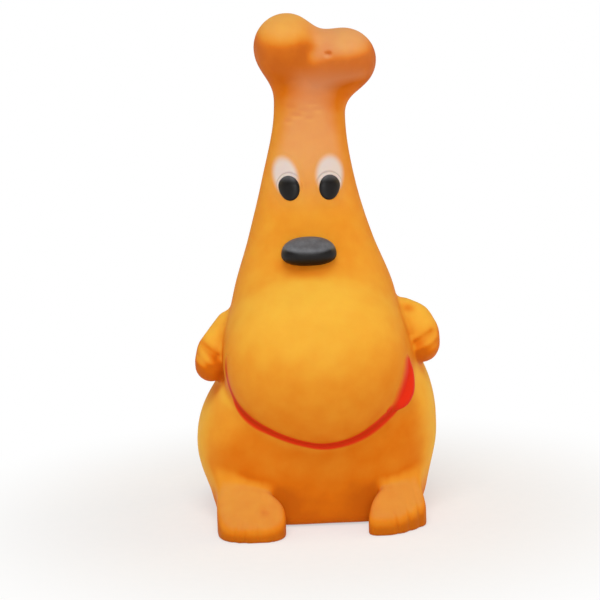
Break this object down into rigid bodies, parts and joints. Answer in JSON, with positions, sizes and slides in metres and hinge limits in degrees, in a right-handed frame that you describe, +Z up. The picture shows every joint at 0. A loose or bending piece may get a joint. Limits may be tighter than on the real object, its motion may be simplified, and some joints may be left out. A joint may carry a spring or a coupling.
{
  "type": "squeaky dog toy",
  "caption": "Hollow latex squeaky toy shaped as a seated dog with a bone-ended head, a round muzzle that gives when squeezed and a reed squeaker in its base.",
  "frame": {"origin": "on the floor under the middle of the toy's bounding box", "axes": "+Z up, the face looks along -Y, +X is to the right as seen from the front"},
  "size_m": [0.088, 0.0802, 0.1772],
  "materials": {
    "latex": "satin cast latex",
    "white_paint": "matt latex paint",
    "black_paint": "satin latex paint",
    "red_paint": "satin latex paint",
    "squeaker_plastic": "moulded polyethylene",
    "reed_film": "stiff film"
  },
  "bodies": {
    "casting": {"latex_body": "latex", "eye_white_left": "white_paint", "eye_white_right": "white_paint", "pupil_left": "black_paint", "pupil_right": "black_paint", "nose": "black_paint", "smile_line": "red_paint", "tongue": "red_paint", "squeaker_cup": "squeaker_plastic", "squeaker_lid": "squeaker_plastic", "reed_holder": "squeaker_plastic", "reed_clamp": "squeaker_plastic"},
    "muzzle": {"muzzle_front": "latex"},
    "reed": {"reed": "reed_film"}
  },
  "joints": [
    {"name": "squeeze", "type": "slide", "parent": "casting", "child": "muzzle", "axis": [0, 1, 0], "range_m": [0, 0.012], "stiffness_N_per_m": 500},
    {"name": "reed_flex", "type": "hinge", "parent": "casting", "child": "reed", "pos_m": [0.00026, 0.00943, 0.007], "axis": [1, 0, 0], "range_deg": [0, 4]}
  ],
  "couplings": [
    {"joint": "reed_flex", "follows": "squeeze", "rad_per_m": 5.5}
  ]
}
